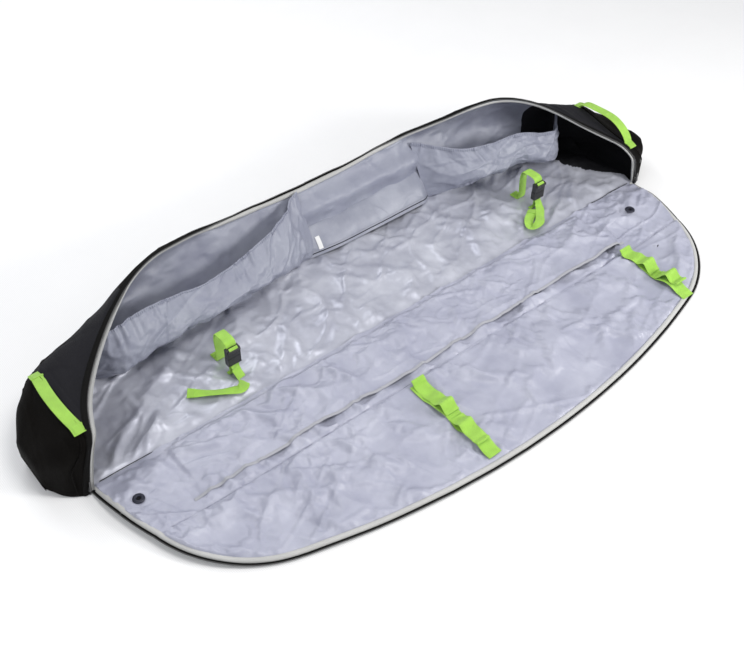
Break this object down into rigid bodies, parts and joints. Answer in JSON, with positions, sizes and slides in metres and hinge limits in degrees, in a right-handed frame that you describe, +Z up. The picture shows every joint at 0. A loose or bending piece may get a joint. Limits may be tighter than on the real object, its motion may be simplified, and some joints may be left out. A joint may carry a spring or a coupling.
{
  "type": "padded ski bag",
  "caption": "Long black padded ski bag lying open, pale grey lining, inside pockets, lime green webbing straps and grab handles at both ends.",
  "frame": {"origin": "on the ground under the centre of the floor panel", "axes": "+X along the bag's length, +Y towards the far wall, +Z up; the lid lies open towards -Y"},
  "size_m": [1.932, 0.9428, 0.2338],
  "materials": {
    "cover": "coated woven nylon",
    "charcoal": "woven nylon",
    "padding": "closed foam",
    "lining": "light satin nylon",
    "floor_lining": "silver coated nylon",
    "nose_lining": "woven nylon",
    "webbing": "ribbed webbing",
    "binding": "grosgrain tape",
    "zip_chain": "zip tape with nylon coil",
    "tag": "satin tape",
    "black_plastic": "moulded",
    "zip_metal": "black enamel",
    "eyelet_metal": "black"
  },
  "bodies": {
    "base": {"floor_cover": "cover", "floor_padding": "padding", "floor_lining": "floor_lining", "nose_left_body": "charcoal", "nose_left_cap": "cover", "nose_left_lining": "nose_lining", "nose_right_body": "charcoal", "nose_right_cap": "cover", "nose_right_lining": "nose_lining", "nose_left_zip_chain": "zip_chain", "nose_left_binding": "binding", "nose_right_zip_chain": "zip_chain", "nose_right_binding": "binding", "end_handle_tabs": "webbing", "ski_strap_left_web": "webbing", "ski_strap_left_socket": "black_plastic", "ski_strap_left_lower_web": "webbing", "ski_strap_left_tail": "webbing", "ski_strap_right_web": "webbing", "ski_strap_right_socket": "black_plastic", "ski_strap_right_lower_web": "webbing", "ski_strap_right_tail": "webbing"},
    "far_wall": {"far_wall_cover": "cover", "far_wall_padding": "padding", "far_wall_lining": "lining", "far_wall_zip_chain": "zip_chain", "far_wall_binding": "binding", "pocket_left": "lining", "pocket_left_hem": "lining", "pocket_right": "lining", "pocket_right_hem": "lining", "blank_tag": "tag", "carry_handle_patches": "webbing"},
    "carry_handle": {"carry_handle": "webbing"},
    "lid_side": {"lid_side_cover": "cover", "lid_side_padding": "padding", "lid_side_lining": "lining", "side_pocket_panel": "lining", "side_pocket_binding": "binding", "eyelets": "eyelet_metal", "lid_side_zip_chains": "zip_chain", "lid_side_bindings": "binding"},
    "lid_top": {"lid_top_cover": "cover", "lid_top_padding": "padding", "lid_top_lining": "lining", "lid_top_zip_chain": "zip_chain", "lid_top_binding": "binding", "pole_strap_bases": "webbing"},
    "pole_flap_left_inner": {"pole_flap_left_inner": "webbing"},
    "pole_flap_left_outer": {"pole_flap_left_outer": "webbing"},
    "pole_flap_right_inner": {"pole_flap_right_inner": "webbing"},
    "pole_flap_right_outer": {"pole_flap_right_outer": "webbing"},
    "ski_plug_left": {"ski_strap_left_plug": "black_plastic"},
    "ski_plug_right": {"ski_strap_right_plug": "black_plastic"},
    "end_handle_left": {"end_handle_left": "webbing"},
    "end_handle_right": {"end_handle_right": "webbing"},
    "zip_slider_left": {"zip_slider_left": "zip_metal"},
    "zip_slider_right": {"zip_slider_right": "zip_metal"},
    "zip_pull_left": {"zip_pull_left": "zip_metal"},
    "zip_pull_right": {"zip_pull_right": "zip_metal"}
  },
  "joints": [
    {"name": "far_wall_fold", "type": "hinge", "parent": "base", "child": "far_wall", "pos_m": [0, 0.16, 0.01], "axis": [1, 0, 0], "range_deg": [0, 27]},
    {"name": "lid_side_fold", "type": "hinge", "parent": "base", "child": "lid_side", "pos_m": [0, -0.16, 0.01], "axis": [-1, 0, 0], "range_deg": [0, 90]},
    {"name": "lid_top_fold", "type": "hinge", "parent": "lid_side", "child": "lid_top", "pos_m": [0, -0.36, 0.01], "axis": [-1, 0, 0], "range_deg": [0, 90]},
    {"name": "pole_flap_left_inner_lift", "type": "hinge", "parent": "lid_top", "child": "pole_flap_left_inner", "pos_m": [-0.136, -0.491, 0.0118], "axis": [-1, 0, 0], "range_deg": [-50, 0]},
    {"name": "pole_flap_left_outer_lift", "type": "hinge", "parent": "lid_top", "child": "pole_flap_left_outer", "pos_m": [-0.136, -0.503, 0.0118], "axis": [1, 0, 0], "range_deg": [-50, 0]},
    {"name": "pole_flap_right_inner_lift", "type": "hinge", "parent": "lid_top", "child": "pole_flap_right_inner", "pos_m": [0.619, -0.458, 0.0118], "axis": [-1, 0, 0], "range_deg": [-50, 0]},
    {"name": "pole_flap_right_outer_lift", "type": "hinge", "parent": "lid_top", "child": "pole_flap_right_outer", "pos_m": [0.619, -0.47, 0.0118], "axis": [1, 0, 0], "range_deg": [-50, 0]},
    {"name": "ski_plug_left_release", "type": "slide", "parent": "base", "child": "ski_plug_left", "axis": [0, 0, 1], "range_m": [-0.03, 0]},
    {"name": "ski_plug_right_release", "type": "slide", "parent": "base", "child": "ski_plug_right", "axis": [0, 0, 1], "range_m": [-0.03, 0]},
    {"name": "end_handle_left_lift", "type": "slide", "parent": "base", "child": "end_handle_left", "axis": [0, 0, 1], "range_m": [0, 0.03]},
    {"name": "end_handle_right_lift", "type": "slide", "parent": "base", "child": "end_handle_right", "axis": [0, 0, 1], "range_m": [0, 0.03]},
    {"name": "carry_handle_swing", "type": "hinge", "parent": "far_wall", "child": "carry_handle", "pos_m": [0, 0.23975, 0.13547], "axis": [1, 0, 0], "range_deg": [0, 80]},
    {"name": "zip_slider_left_run", "type": "slide", "parent": "base", "child": "zip_slider_left", "axis": [0.1536, 0, 0.9881], "range_m": [0, 0.08]},
    {"name": "zip_pull_left_swing", "type": "hinge", "parent": "zip_slider_left", "child": "zip_pull_left", "pos_m": [-0.88806, -0.1696, 0.01864], "axis": [0.9881, 0, -0.1536], "range_deg": [0, 80]},
    {"name": "zip_slider_right_run", "type": "slide", "parent": "base", "child": "zip_slider_right", "axis": [-0.1536, 0, 0.9881], "range_m": [0, 0.08]},
    {"name": "zip_pull_right_swing", "type": "hinge", "parent": "zip_slider_right", "child": "zip_pull_right", "pos_m": [0.88806, -0.1696, 0.01864], "axis": [0.9881, 0, 0.1536], "range_deg": [0, 80]}
  ]
}
